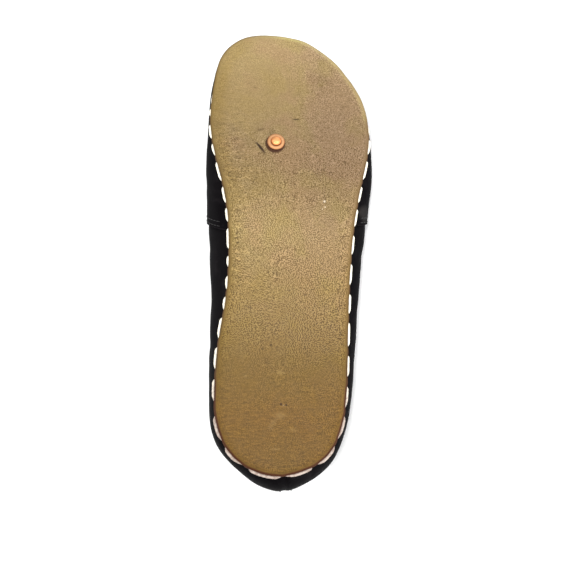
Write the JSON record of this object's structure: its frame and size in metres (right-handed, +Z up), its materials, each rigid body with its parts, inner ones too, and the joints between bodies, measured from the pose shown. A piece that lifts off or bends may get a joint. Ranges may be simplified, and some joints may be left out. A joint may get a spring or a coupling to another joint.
{
  "type": "barefoot shoe",
  "caption": "Flat slip-on leather shoe for a left foot, with a foot-shaped leather sole sewn round its rim and a copper rivet under the ball; it lies on its outer side.",
  "frame": {"origin": "centre of the base of the bounding box, on the floor that the shoe lies on", "axes": "+X runs from the heel to the toe, +Z is up; the sole faces -Y and up, the mouth +Y and down, the outer side of the foot is underneath"},
  "size_m": [0.2854, 0.0936, 0.0846],
  "materials": {
    "outsole": "worn, grained tan leather with a darker rim",
    "insole": "plain tan leather",
    "upper": "smooth black leather with a soft shine",
    "burr": "bare copper, lightly rubbed",
    "rivet": "bare copper, hammered end"
  },
  "bodies": {
    "root": {"outsole": "outsole", "insole": "insole", "upper": "upper", "burr": "burr", "rivet": "rivet"}
  },
  "joints": []
}
